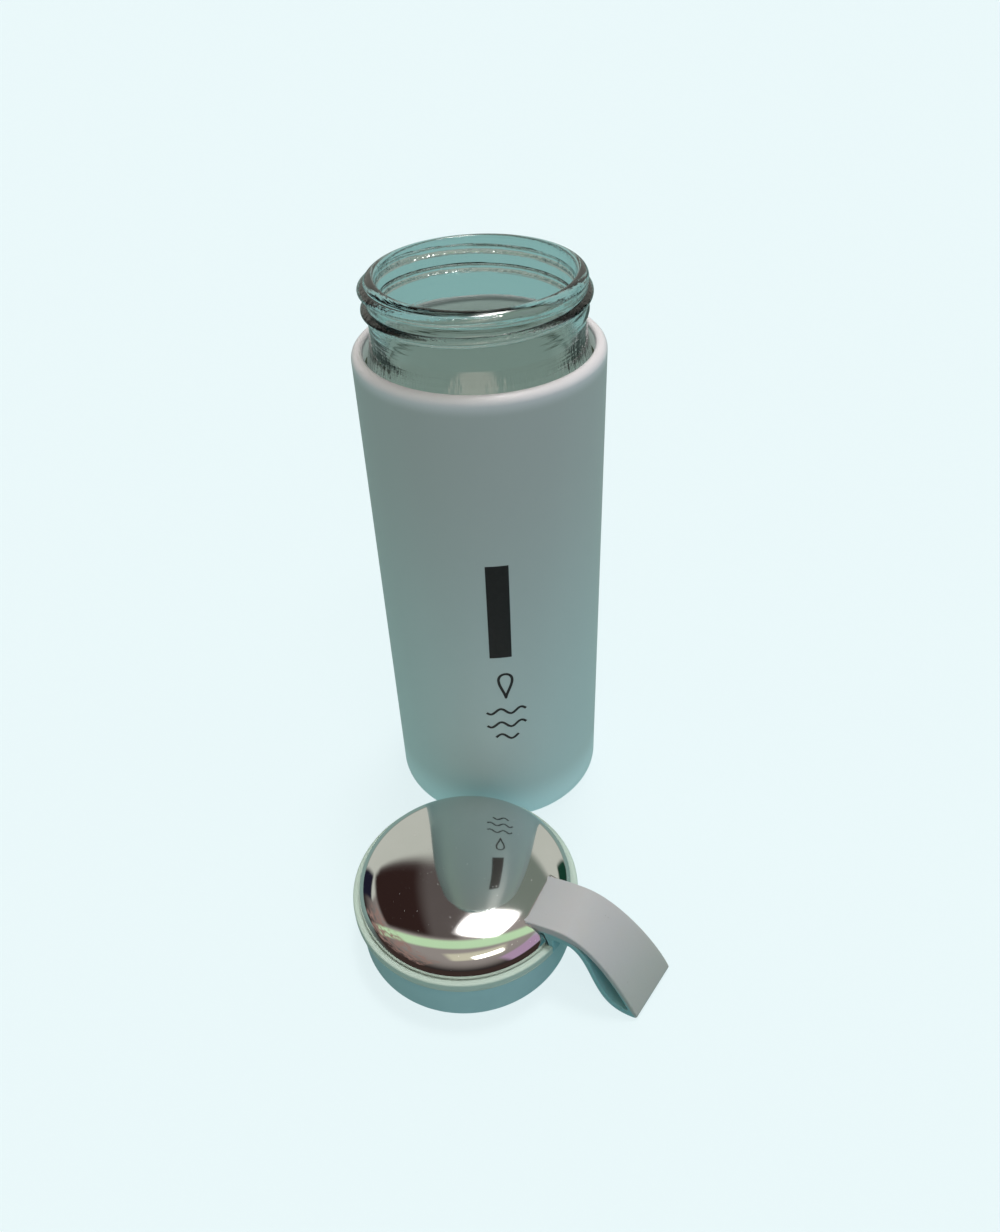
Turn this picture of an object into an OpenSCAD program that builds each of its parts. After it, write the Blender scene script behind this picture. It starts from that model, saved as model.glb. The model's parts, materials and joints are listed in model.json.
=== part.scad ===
// Glass water bottle in a plastic sleeve, with its domed screw cap standing beside it.
// The origin is the centre of the bottle's base. +Z is up, and the cap stands towards -Y.

/* [Sleeve] */
// Outer radius of the sleeve
sleeve_r = 32.5; // [30:0.1:42]
// Height of the sleeve, from the table to the top of its lip
sleeve_h = 147.3; // [110:0.1:200]
// Wall of the sleeve below its lip
sleeve_wall = 2; // [1.4:0.1:2.6]
// Thickness of the lip round the mouth of the sleeve
lip_wall = 3.1; // [2.8:0.1:3.8]
// Height of the thick lip, down to its underside
lip_h = 6; // [4:0.1:9]

/* [Glass] */
// Gap between the glass and the sleeve
glass_gap = 0.4; // [0.2:0.05:1]
// Wall of the glass body
glass_wall = 2.6; // [2:0.1:4]
// Wall of the glass at the neck
neck_wall = 2.7; // [2:0.1:3.5]
// Thickness of the glass bottom
glass_floor = 5; // [3:0.1:9]
// Height of the neck's rim above the sleeve's lip
neck_rise = 18; // [15:0.1:26]
// How far the root of the neck stands in from the sleeve's mouth
neck_inset = 2.2; // [1.8:0.1:4]
// Height of the shoulder, where the body curves in to the neck
shoulder_h = 19; // [14:0.1:26]
// Height of the shoulder's top above the sleeve's lip
shoulder_rise = 6; // [4:0.1:8]

/* [Thread] */
// Rise of the thread in one turn
thread_pitch = 5; // [4:0.1:7]
// How far the glass thread stands out from the neck
thread_depth = 1.5; // [1:0.05:1.7]
// Turns of the glass thread
neck_turns = 1.75; // [1:0.25:2]
// Turns of the thread inside the cap
cap_turns = 1.25; // [1:0.25:1.5]
// Radial clearance between the cap's wall and the glass thread
thread_gap = 0.35; // [0.2:0.05:0.8]

/* [Base] */
// Thickness of the base cover's floor
base_floor = 2; // [1.4:0.1:4]
// Wall of the base cover's rim
base_wall = 1.2; // [0.8:0.1:2]
// Thickness of the pad under the glass
pad_t = 3; // [1.5:0.1:5]

/* [Cap] */
// Place of the cap's axis across the table
cap_x = -11.6; // [-30:0.1:30]
// Gap between the cap and the sleeve, as they stand on the table
cap_clear = 5.4; // [3:0.1:30]
// Gap between the skirt and the sleeve's lip when the cap is screwed on
cap_gap = 1.7; // [0.4:0.1:3]
// Wall of the skirt
skirt_wall = 1.2; // [0.9:0.05:2]
// How far the ring stands out from the skirt
ring_out = 1.45; // [0.8:0.05:2.5]
// Height of the ring
ring_h = 3.1; // [2.4:0.1:5]
// Width of the ring's top face outside the dome
ring_face = 1.8; // [1:0.1:3]
// Rise of the dome above the ring
dome_rise = 8.5; // [6.5:0.1:14]
// Fullness of the dome, from 2 for an ellipse to more for a flatter top with a rounder edge
dome_full = 2.7; // [2:0.1:3.2]
// Wall of the dome
dome_wall = 0.9; // [0.6:0.05:1.4]
// Thickness of the sealing ring
seal_t = 1.35; // [1:0.05:2.5]

/* [Carry loop] */
// Direction that the loop points in, seen from above
strap_az = -28.6; // [-60:0.1:0]
// Thickness of the band
band_t = 2; // [1.2:0.1:3]
// Width of the band where it leaves the cap
root_w = 16; // [10:0.1:20]
// Width of the band at its fold
fold_w = 18; // [10:0.1:22]
// Distance from the rim of the dome in to the slot
slot_inset = 7.25; // [5:0.05:10]
// Height of the band's bend above the ring
bend_rise = 5.45; // [4.5:0.05:7]
// How far the loop reaches past its root
loop_reach = 23.7; // [16:0.1:40]

/* [Hidden] */
$fn = 96;

fit_gap = 0.1;    // clearance of pieces that are pushed together
run_gap = 0.25;   // clearance of pieces that move past each other
slope = 0.7;      // width and height of the cap's slanted seats
seat_drop = 0.1;  // how far the rim's seat lies under the top of the ring
seal_room = 0.15; // free height over the sealing ring
plate_t = 1.1;    // thickness of the cap's inner plate
step_in = 0.5;    // depth of the step under the ring
bend_out = 1.9;   // how far the band's bend stands out from the ring
fold_lift = 0.35; // gap between the fold and the table
tab_back = 10;    // how far the band's tab runs in under the dome
pin_back = 6.5;   // how far the pins that hold the tab stand in from the slot
pin_r = 1.4;      // radius of those pins

mouth_r = sleeve_r - lip_wall;
bore_r = sleeve_r - sleeve_wall;
glass_r = bore_r - glass_gap;
neck_r = mouth_r - neck_inset;
crest_r = neck_r + thread_depth;
glass_z = base_floor + pad_t;
rim_z = sleeve_h + neck_rise;
shoulder_z = sleeve_h + shoulder_rise - shoulder_h;

skirt_in = crest_r + thread_gap;
skirt_r = skirt_in + skirt_wall;
ring_r = skirt_r + ring_out;
dome_r = ring_r - ring_face;
rim_seat = neck_rise - cap_gap;
ring_z = rim_seat + seat_drop - ring_h;
dome_z = ring_z + ring_h;
plate_z = rim_seat + seal_t + seal_room;
plate_top = plate_z + plate_t;
cap_y = -sqrt(pow(ring_r + sleeve_r + cap_clear, 2) - pow(cap_x, 2));

slot_s = dome_r - slot_inset;
hinge_r = band_t + fit_gap;
hinge_s = ring_r + bend_out;
hinge_z = dome_z + bend_rise;
fold_s = hinge_s + loop_reach;
fold_z = band_t / 2 + fold_lift;

// A stretch of a circle about c, from angle a to angle b
function arc(c, r, a, b, n = 8) =
    [for (i = [0:n]) c + r * [cos(a + (b - a) * i / n), sin(a + (b - a) * i / n)]];

// A point on the cubic curve through p[0] and p[3], steered by p[1] and p[2]
function curve(p, t) =
    pow(1 - t, 3) * p[0] + 3 * pow(1 - t, 2) * t * p[1] + 3 * (1 - t) * t * t * p[2] + pow(t, 3) * p[3];

// The unit normal of that curve
function curve_normal(p, t) =
    let (d = curve(p, min(t + 0.001, 1)) - curve(p, max(t - 0.001, 0))) [-d[1], d[0]] / norm(d);

// The outline of a band of even thickness along that curve
function band(p, thick, n = 20) = concat(
    [for (i = [0:n]) curve(p, i / n) + curve_normal(p, i / n) * thick / 2],
    [for (i = [n:-1:0]) curve(p, i / n) - curve_normal(p, i / n) * thick / 2]);

// A smooth step from 0 to 1
function ease(t) = let (c = min(max(t, 0), 1)) c * c * (3 - 2 * c);

// Radius of the outside of the glass at height z of its shoulder
function shoulder_r(z) = glass_r - (glass_r - neck_r) * ease((z - shoulder_z) / shoulder_h);

// Half of the dome's section, for radius a and rise b: an ellipse made fuller by its exponent
function dome_curve(a, b, n = 32) = [for (i = [0:n])
    [a * pow(cos(90 * i / n), 2 / dome_full), dome_z + b * pow(sin(90 * i / n), 2 / dome_full)]];

// A helical rib on a wall: the wall's radius, the crest's radius, first height, turns and first angle.
// Its section is a trapezium that starts inside the wall, and both ends shrink and sink back into the wall.
module rib(wall_r, crest, z0, turns, start) {
    steps = ceil(turns * 48);
    side = sign(crest - wall_r);
    sunk = wall_r - 0.55 * side;
    half = thread_pitch * 0.34;
    tip = thread_pitch * 0.08;
    rings = [for (i = [0:steps])
        let (a = start + turns * 360 * i / steps,
             z = z0 + turns * thread_pitch * i / steps,
             fade = min(ease(i / 8), ease((steps - i) / 8)),
             r = wall_r - 0.3 * side + (crest - wall_r + 0.3 * side) * fade,
             tall = 0.4 + 0.6 * fade)
        [for (q = [[sunk, -half], [r, -tip], [r, tip], [sunk, half]])
            [q[0] * cos(a), q[0] * sin(a), z + q[1] * tall]]];
    sides = [for (i = [0:steps - 1]) for (k = [0:3])
        let (a = i * 4 + k, b = i * 4 + (k + 1) % 4)
        each [[a, b, b + 4], [a, b + 4, a + 4]]];
    last = steps * 4;
    faces = concat(sides, [[3, 2, 1, 0], [last, last + 1, last + 2, last + 3]]);
    polyhedron([for (ring = rings) each ring],
        [for (f = faces) side < 0 ? [for (k = [len(f) - 1:-1:0]) f[k]] : f]);
}

// The cap's own place, with its axis upright and its skirt on the table
module at_cap() {
    translate([cap_x, cap_y, 0]) children();
}

// A bar with the outline given across the loop, in the plane of the loop
module across_loop(width) {
    at_cap() rotate(strap_az) rotate([90, 0, 0]) linear_extrude(width, center = true) children();
}

// The notch that the loop's block fills, through the ring and the dome
module notch() {
    at_cap() rotate(strap_az) translate([slot_s, -root_w / 2 - fit_gap, 0])
        cube([2 * ring_out + slot_inset + 8, root_w + 2 * fit_gap, dome_z + dome_rise + 1]);
}

module outer_sleeve() {
    round_out = lip_wall * 0.7;
    round_in = lip_wall - round_out;
    foot = 0.8;
    lip_slope = 1.4;
    color([0.62, 0.71, 0.71]) rotate_extrude() polygon(concat(
        arc([sleeve_r - foot, foot], foot, -90, 0, 4),
        arc([sleeve_r - round_out, sleeve_h - round_out], round_out, 0, 90),
        arc([mouth_r + round_in, sleeve_h - round_in], round_in, 90, 180),
        [[mouth_r, sleeve_h - lip_h + lip_slope], [bore_r, sleeve_h - lip_h], [bore_r, 0]]));
}

module glass_bottle() {
    inner_r = glass_r - glass_wall;
    neck_in = neck_r - neck_wall;
    foot = 5;
    sole = glass_z + glass_floor;
    bead_h = 3.1;
    bead_out = 0.3;
    bead_round = 2.1;
    inner_round = 0.7;
    outside = concat([[0, glass_z]], arc([glass_r - foot, glass_z + foot], foot, -90, 0),
        [for (i = [0:16]) let (z = shoulder_z + shoulder_h * i / 16) [shoulder_r(z), z]],
        [[neck_r, rim_z - bead_h - 2 * bead_out], [neck_r + bead_out, rim_z - bead_h]],
        arc([neck_r + bead_out - bead_round, rim_z - bead_round], bead_round, 0, 90, 5));
    inside = concat(arc([neck_in + inner_round, rim_z - inner_round], inner_round, 90, 180, 4),
        [for (i = [12:-1:0]) [inner_r - (inner_r - neck_in) * ease(i / 12),
            shoulder_z + shoulder_h * i / 12]],
        arc([inner_r - foot, sole + foot], foot, 0, -90), [[0, sole]]);
    color([0.55, 0.68, 0.6, 0.5]) union() {
        rotate_extrude() polygon(concat(outside, inside));
        rib(neck_r, crest_r, rim_z - bead_h - thread_pitch * (neck_turns - 0.25), neck_turns, -350);
    }
}

module neck_seal() {
    top = sleeve_h - lip_h - fit_gap;
    tall = 1.8;
    color([0.45, 0.47, 0.38]) rotate_extrude() polygon(concat(
        [for (i = [0:3]) [shoulder_r(top - tall * i / 3) + fit_gap / 2, top - tall * i / 3]],
        [[bore_r - fit_gap / 2, top - tall], [bore_r - fit_gap / 2, top]]));
}

module shock_pad() {
    rim_gap = 0.2;
    hole_r = 9;
    color([0.85, 0.87, 0.86]) difference() {
        translate([0, 0, base_floor]) cylinder(h = pad_t, r = bore_r - fit_gap - base_wall - rim_gap);
        translate([0, 0, base_floor - 1]) cylinder(h = pad_t + 2, r = hole_r);
    }
}

module base_cover() {
    glass_clear = 0.4;
    color([0.6, 0.69, 0.69]) difference() {
        cylinder(h = base_floor + pad_t - glass_clear, r = bore_r - fit_gap);
        translate([0, 0, base_floor]) cylinder(h = pad_t, r = bore_r - fit_gap - base_wall);
    }
}

module chrome_cover() {
    inner = dome_curve(dome_r - dome_wall, dome_rise - dome_wall);
    color([0.78, 0.79, 0.8]) difference() {
        at_cap() rotate_extrude() polygon(concat(dome_curve(dome_r, dome_rise),
            [for (i = [len(inner) - 1:-1:0]) inner[i]]));
        notch();
    }
}

module cap_ring() {
    edge = 0.5;
    inner = skirt_r - step_in + fit_gap;
    ledge = dome_r - dome_wall - fit_gap / 2;
    color([0.7, 0.78, 0.75]) difference() {
        at_cap() rotate_extrude() polygon(concat(
            [[inner, ring_z]],
            arc([ring_r - edge, ring_z + edge], edge, -90, 0, 4),
            arc([ring_r - edge, dome_z - edge], edge, 0, 90, 4),
            [[ledge, dome_z], [ledge, dome_z - slope], [inner, dome_z - 2 * slope]]));
        notch();
    }
}

module cap_base() {
    step = skirt_r - step_in;
    throat = dome_r - dome_wall - fit_gap;
    seat = neck_r + 0.8;
    edge = 0.4;
    pin_h = 2.2;
    color([0.42, 0.57, 0.6]) union() {
        at_cap() rotate_extrude() polygon(concat(
            [[skirt_in, 0]],
            arc([skirt_r - edge, edge], edge, -90, 0, 4),
            [[skirt_r, ring_z - edge], [skirt_r - edge, ring_z], [step, ring_z],
             [step, dome_z - 2 * slope - fit_gap], [throat, dome_z - slope - fit_gap],
             [throat, rim_seat + 0.3], [neck_r + 0.2, plate_top], [0, plate_top], [0, plate_z],
             [neck_r - 0.3, plate_z], [seat, rim_seat + 0.6], [seat, ring_z + 2],
             [skirt_in, ring_z + 1.2]]));
        at_cap() rib(skirt_in, neck_r + 0.5, 3.4, cap_turns, 0);
        at_cap() rotate(strap_az) for (side = [-1, 1])
            translate([slot_s - pin_back, side * root_w * 0.3, plate_top - 0.2])
                cylinder(h = pin_h, r = pin_r);
    }
}

module inner_plug() {
    reach = 1.4;
    outer_r = neck_r - neck_wall - 1.2;
    wall = 1.4;
    color([0.86, 0.88, 0.87]) at_cap() difference() {
        translate([0, 0, rim_seat - reach]) cylinder(h = plate_z - rim_seat + reach, r = outer_r);
        translate([0, 0, rim_seat - reach - 0.6]) cylinder(h = 1.8, r = outer_r - wall);
    }
}

module cap_seal() {
    overlap = 1;
    color([0.9, 0.91, 0.9]) at_cap() rotate_extrude()
        translate([neck_r - neck_wall - overlap, rim_seat]) square([neck_wall + 0.6, seal_t]);
}

module strap_root() {
    top = hinge_z + hinge_r;
    under = hinge_z - hinge_r;
    crown = [[slot_s + fit_gap, top - 1.2], [slot_s + 3.5, top - 0.5],
             [slot_s + 7, top + 0.1], [hinge_s, top]];
    block_s = skirt_r - 0.2;
    tab = 2;
    throat_s = dome_r - dome_wall + fit_gap + fit_gap / 2;
    color([0.7, 0.7, 0.72]) difference() {
        intersection() {
            across_loop(root_w) polygon(concat(
                [[slot_s - tab_back, plate_top], [slot_s - tab_back, plate_top + tab],
                 [slot_s + fit_gap, plate_top + tab]],
                [for (i = [0:8]) curve(crown, i / 8)],
                [[hinge_s, ring_z], [block_s, ring_z], [block_s, dome_z - 2 * slope],
                 [throat_s, dome_z - slope], [throat_s, rim_seat + 0.4], [neck_r + 0.5, plate_top]]));
            at_cap() rotate_extrude() polygon([[0, 0], [ring_r, 0], [ring_r, under],
                [hinge_s + 5, under], [hinge_s + 5, top + 5], [0, top + 5]]);
        }
        across_loop(root_w + 2) translate([hinge_s, hinge_z]) circle(r = hinge_r + run_gap);
        at_cap() rotate(strap_az) for (side = [-1, 1])
            translate([slot_s - pin_back, side * root_w * 0.3, plate_top - 1])
                cylinder(h = 6, r = pin_r + fit_gap);
    }
}

module strap_loop() {
    drop = hinge_z - fold_z;
    fillet = 0.4;
    upper = [[hinge_s, hinge_z + band_t / 2 + fit_gap],
             [hinge_s + 0.35 * loop_reach, hinge_z + 0.02 * drop],
             [hinge_s + 0.8 * loop_reach, fold_z + 0.49 * drop],
             [fold_s, fold_z]];
    lower = [[hinge_s, hinge_z - band_t / 2 - fit_gap],
             [hinge_s + 0.44 * loop_reach, hinge_z - 0.1 * drop],
             [hinge_s + 0.375 * loop_reach, fold_z - 0.12 * drop],
             [fold_s, fold_z]];
    color([0.7, 0.7, 0.72]) intersection() {
        across_loop(fold_w) offset(delta = -fillet) offset(delta = fillet) union() {
            polygon(band(upper, band_t));
            polygon(band(lower, band_t));
            translate([hinge_s, hinge_z]) circle(r = hinge_r);
            translate([fold_s, fold_z]) circle(r = band_t / 2);
        }
        at_cap() rotate(strap_az) linear_extrude(dome_z + dome_rise + 10) polygon([
            [hinge_s - 5, root_w / 2], [hinge_s, root_w / 2], [fold_s + band_t, fold_w / 2],
            [fold_s + band_t, -fold_w / 2], [hinge_s, -root_w / 2], [hinge_s - 5, -root_w / 2]]);
    }
}

outer_sleeve();
glass_bottle();
neck_seal();
shock_pad();
base_cover();
chrome_cover();
cap_ring();
cap_base();
inner_plug();
cap_seal();
strap_root();
strap_loop();
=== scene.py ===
# %% [markdown]
# # A glass bottle in a plastic sleeve, with its domed cap beside it
# The real object is a thick glass bottle dropped into a glossy plastic sleeve. Its screw cap stands in front
# of it: a chrome dome on a pale ring and a threaded skirt, with a flat silicone loop to carry it by.
# The engineering model gives every size and joint, so this notebook loads it first and adds only looks.
# Each piece is worked out as a formula on a grid, because a lathe-turned shape is exactly such a formula.

import json
import math

import bmesh
import bpy
import numpy as np
from mathutils import Matrix, Vector
from mathutils.geometry import tessellate_polygon


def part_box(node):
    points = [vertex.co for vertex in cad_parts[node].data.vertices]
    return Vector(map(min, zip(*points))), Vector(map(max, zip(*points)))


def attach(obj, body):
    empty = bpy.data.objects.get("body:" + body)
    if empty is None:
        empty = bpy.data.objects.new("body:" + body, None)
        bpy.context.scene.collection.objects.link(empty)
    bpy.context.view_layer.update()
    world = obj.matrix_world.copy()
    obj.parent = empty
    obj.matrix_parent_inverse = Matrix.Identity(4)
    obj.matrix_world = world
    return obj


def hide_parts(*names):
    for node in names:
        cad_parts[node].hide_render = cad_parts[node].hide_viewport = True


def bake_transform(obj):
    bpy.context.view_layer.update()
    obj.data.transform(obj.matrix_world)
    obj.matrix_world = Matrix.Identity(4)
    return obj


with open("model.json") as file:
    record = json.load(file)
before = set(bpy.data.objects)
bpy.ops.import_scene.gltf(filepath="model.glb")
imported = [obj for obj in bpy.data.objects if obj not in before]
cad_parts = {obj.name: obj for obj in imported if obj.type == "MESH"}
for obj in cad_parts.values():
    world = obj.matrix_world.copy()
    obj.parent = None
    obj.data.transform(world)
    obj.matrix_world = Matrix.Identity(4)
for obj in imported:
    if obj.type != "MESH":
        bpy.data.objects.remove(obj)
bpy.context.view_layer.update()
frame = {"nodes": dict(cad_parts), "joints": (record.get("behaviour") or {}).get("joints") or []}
print("nodes:", sorted(frame["nodes"]))

# %% [markdown]
# ## Sizes
# Most radii and heights below are read from the boxes of the engineering parts, and the direction of the
# carry loop from the axis of its joint. Sizes that no box shows, such as the walls, the thread's pitch and
# the widths of the loop, are written as numbers, so a change to one of those has to be made here as well.

# %% Sizes of the bottle
MM = 0.001
sleeve_r, sleeve_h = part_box("outer_sleeve")[1].x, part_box("outer_sleeve")[1].z
glass_low, glass_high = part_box("glass_bottle")
glass_r, glass_z, rim_z = glass_high.x, glass_low.z, glass_high.z
lip_wall, sleeve_wall, glass_wall, neck_wall = 3.1 * MM, 2 * MM, 2.6 * MM, 2.7 * MM
mouth_r, bore_r = sleeve_r - lip_wall, sleeve_r - sleeve_wall
neck_r, lip_h = mouth_r - 2.2 * MM, 6 * MM
thread_depth, thread_pitch = 1.5 * MM, 5 * MM
shoulder_low, shoulder_high = sleeve_h - 13 * MM, sleeve_h + 6 * MM
print(f"sleeve {sleeve_r / MM:.1f} x {sleeve_h / MM:.1f} mm, neck radius {neck_r / MM:.1f} mm")

# %% Sizes of the cap
cap_low, cap_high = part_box("cap_base")
ring_low, ring_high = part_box("cap_ring")
dome_low, dome_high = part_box("chrome_cover")
cap_x, cap_y = (cap_low.x + cap_high.x) / 2, (cap_low.y + cap_high.y) / 2
skirt_r = (cap_high.x - cap_low.x) / 2
ring_r, ring_z, dome_z = cap_x - ring_low.x, ring_low.z, ring_high.z
dome_r, dome_rise, plate_top = cap_x - dome_low.x, dome_high.z - dome_z, cap_high.z
dome_wall, plate_t, skirt_wall, dome_full = 0.9 * MM, 1.1 * MM, 1.2 * MM, 2.7
rim_seat = ring_high.z - 0.1 * MM
print(f"cap at {cap_x / MM:.1f}, {cap_y / MM:.1f} mm, ring radius {ring_r / MM:.1f} mm")

# %% Sizes of the carry loop
flex = next(joint for joint in frame["joints"] if joint["name"] == "strap_flex")
along = Vector((-flex["axis"][1], flex["axis"][0], 0)).normalized()
across = Vector((-along.y, along.x, 0))
strap_angle = math.atan2(along.y, along.x)
hinge = Vector(flex["pos_m"])
hinge_s, hinge_z = (hinge - Vector((cap_x, cap_y, 0))).xy.dot(along.xy), hinge.z
band_t, root_w, fold_w = 2 * MM, 16 * MM, 18 * MM
fit_gap, slot_s = 0.1 * MM, dome_r - 7.25 * MM
loop_low, loop_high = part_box("strap_loop")
loop_far = (loop_high - Vector((cap_x, cap_y, 0))).x
fold_s = (loop_far - fold_w / 2 * abs(across.x)) / along.x - band_t / 2
fold_z = loop_low.z + band_t / 2
reach, drop, half_t = fold_s - hinge_s, hinge_z - fold_z, band_t / 2
loop_skew = 0.155
print(f"loop points {math.degrees(strap_angle):.1f} degrees, folds {fold_s / MM:.1f} mm from the cap's axis")

# %% [markdown]
# ## Camera and surroundings
# The camera looks down on the bottle from above the cap, tilted by a small roll as if held by hand.
# It is made first, so that every later step can be looked at.

# %% Camera
def place_camera():
    """A camera whose turn is yaw about +Z, then pitch about X, then roll about its own line of sight."""
    data = bpy.data.cameras.new("camera")
    data.sensor_width, data.lens = 36, 28.96
    data.clip_start, data.clip_end = 0.01, 50
    camera = bpy.data.objects.new("camera", data)
    bpy.context.scene.collection.objects.link(camera)
    turn = (Matrix.Rotation(-0.0093, 4, "Z") @ Matrix.Rotation(math.pi / 2 - 0.6849, 4, "X")
            @ Matrix.Rotation(-0.0450, 4, "Z"))
    camera.matrix_world = Matrix.Translation((0, -0.23833, 0.25165)) @ turn
    bpy.context.scene.camera = camera
    return camera


camera = place_camera()
bpy.context.scene.view_settings.view_transform = "Standard"
print("camera at", [round(c, 4) for c in camera.location])

# %% [markdown]
# ## Shader sums as plain Python
# A material is a network of nodes, and most of it is arithmetic. Drawing that by hand hides the idea, so one
# small class wraps a socket and turns `a * b + c` into Math nodes. Any other node is made by one method.

# %% A wrapper for sums on sockets
class Wire:
    """The output of a node, on which Python's operators add Math nodes."""

    def __init__(self, tree, socket):
        self.tree, self.socket = tree, socket

    def sum(self, operation, *others):
        return self.tree.node("ShaderNodeMath", {"operation": operation}, [self, *others])

    def __add__(self, other):
        return self.sum("ADD", other)

    def __sub__(self, other):
        return self.sum("SUBTRACT", other)

    def __mul__(self, other):
        return self.sum("MULTIPLY", other)

    def __truediv__(self, other):
        return self.sum("DIVIDE", other)

    def step(self, start, end):
        """0 before start and 1 after end, with a smooth rise between them."""
        inputs = {"Value": self, "From Min": start, "From Max": end}
        return self.tree.node("ShaderNodeMapRange", {"interpolation_type": "SMOOTHSTEP"}, inputs)


# %% A node tree that makes its own nodes
class Tree:
    """The node tree of one material or world, emptied and ready to be built."""

    def __init__(self, owner):
        owner.use_nodes = True
        self.nodes, self.links = owner.node_tree.nodes, owner.node_tree.links
        self.nodes.clear()

    def node(self, kind, settings=None, inputs=None, output=0):
        """Adds a node, makes its settings and then its inputs, and returns the output asked for."""
        made = self.nodes.new(kind)
        for name, value in (settings or {}).items():
            setattr(made, name, value)
        pairs = enumerate(inputs) if isinstance(inputs, list) else (inputs or {}).items()
        for name, value in pairs:
            if isinstance(value, Wire):
                self.links.new(value.socket, made.inputs[name])
            else:
                made.inputs[name].default_value = value
        return Wire(self, made.outputs[output]) if made.outputs else made

    def blend(self, factor, first, second):
        """The first colour where factor is 0 and the second where it is 1."""
        inputs = {0: factor, 6: pad(first), 7: pad(second)}
        return self.node("ShaderNodeMix", {"data_type": "RGBA"}, inputs, output=2)

    def place(self, scale=(1, 1, 1), centre=(0, 0, 0)):
        """The place on the object, measured from centre and stretched by scale."""
        local = self.node("ShaderNodeTexCoord", output=3)
        offset = tuple(-c * s for c, s in zip(centre, scale))
        return self.node("ShaderNodeMapping", None, {"Vector": local, "Location": offset, "Scale": scale})

    def part(self, vector, index):
        """One of a vector's three parts: 0 for X, 1 for Y and 2 for Z."""
        return self.node("ShaderNodeSeparateXYZ", None, {"Vector": vector}, output=index)

    def dot(self, vector, axis):
        """How far a vector reaches along a fixed axis."""
        inputs = [vector, tuple(axis)]
        return self.node("ShaderNodeVectorMath", {"operation": "DOT_PRODUCT"}, inputs, output=1)

    def length(self, vector):
        return self.node("ShaderNodeVectorMath", {"operation": "LENGTH"}, [vector], output=1)

    def ray(self, name):
        """What the renderer knows about the ray that is being followed."""
        return self.node("ShaderNodeLightPath", output=name)

    def mirrored(self):
        """1 for a reflected ray that hasn't been through glass, and 0 for any other."""
        return self.ray("Is Glossy Ray") * (self.through_glass() * -1 + 1)

    def through_glass(self):
        return self.ray("Transmission Depth").sum("MINIMUM", 1)

    def noise(self, place, scale, detail=3, rough=0.5):
        return self.node("ShaderNodeTexNoise", None,
                         {"Vector": place, "Scale": scale, "Detail": detail, "Roughness": rough})


def pad(colour):
    """A colour with its alpha, or a wire as it is."""
    return colour if isinstance(colour, Wire) else (*colour[:3], 1)


# %% A material from a Principled shader
def finish_with(name, sockets, build=None):
    """A material of one Principled shader: fixed sockets first, then what build(tree) makes vary."""
    material = bpy.data.materials.new(name)
    tree = Tree(material)
    varying = build(tree) if build else {}
    shader = tree.node("ShaderNodeBsdfPrincipled", None, {**sockets, **varying})
    tree.node("ShaderNodeOutputMaterial", None, {"Surface": shader})
    return material


def bump(tree, height, strength, distance):
    """The surface's normal after a small relief of that height."""
    return tree.node("ShaderNodeBump", None, {"Height": height, "Strength": strength, "Distance": distance})


print("shader helpers ready")

# %% [markdown]
# ## The studio
# Chrome and glass show their surroundings, so the studio matters as much as the materials. The world is a dim
# brown room with soft panels: a pale wall behind the bottle, a window at the right, dark furniture and
# clutter at the left, a lamp overhead and a dimmer one behind the camera. A panel is a box drawn on the sky,
# found with dot products, and a pale green beam crosses the ceiling from side to side. Rays that have been
# through glass see a softer room, so that the neck stays calm. The camera itself sees only a plain backdrop.

# %% The room's panels
def panel(tree, direction, azimuth, elevation, half_wide, half_high, soft, spin=0):
    """1 inside a box of the sky and 0 outside. Azimuth turns from +Y to +X, and all are in degrees."""
    a, e, s = math.radians(azimuth), math.radians(elevation), math.radians(spin)
    toward = Vector((math.sin(a) * math.cos(e), math.cos(a) * math.cos(e), math.sin(e)))
    side = Vector((math.cos(a), -math.sin(a), 0))
    up = side.cross(toward)
    side, up = side * math.cos(s) + up * math.sin(s), up * math.cos(s) - side * math.sin(s)
    depth = tree.dot(direction, toward).sum("MAXIMUM", 0.001)
    wide, high = (tree.dot(direction, axis).sum("ABSOLUTE") / depth for axis in (side, up))
    blur = math.tan(math.radians(soft))
    edge_w, edge_h = math.tan(math.radians(half_wide)), math.tan(math.radians(half_high))
    return wide.step(edge_w + blur, edge_w - blur) * high.step(edge_h + blur, edge_h - blur)


BACKDROP = (0.83, 0.95, 0.973)
PANELS = [  # name, colour, strength, azimuth, elevation, half width, half height, softness, spin
    ("pale wall", (0.98, 1.0, 0.90), 0.62, 0, 28, 54, 27, 4),
    ("side window", (0.86, 0.98, 1.0), 0.60, 95, 24, 26, 20, 6),
    ("clutter", (0.36, 0.23, 0.20), 1.0, -108, 22, 34, 30, 5),
    ("lilac cloth", (0.50, 0.34, 0.50), 1.0, 128, 24, 17, 20, 4),
    ("olive wall", (0.20, 0.235, 0.20), 1.0, 36, 57, 13, 11, 3),
    ("brown shelf", (0.12, 0.10, 0.095), 1.0, -42, 59, 19, 17, 2.5, 50),
    ("dark screen", (0.035, 0.018, 0.016), 1.0, -51, 53, 15, 16, 3, 55),
    ("left post", (0.015, 0.015, 0.03), 1.0, -56, 8, 8, 22, 2),
    ("right post", (0.01, 0.05, 0.03), 1.0, 55, 16, 7, 14, 2),
    ("warm strip", (0.90, 0.86, 0.66), 0.80, 170, 66, 17, 9, 3),
    ("lamp behind", (1.0, 0.96, 0.90), 9.0, 155, 62, 9, 3.5, 2),
    ("overhead lamp", (1.0, 0.96, 0.95), 46.0, 24, 76, 6.2, 4.6, 5),
]


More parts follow.
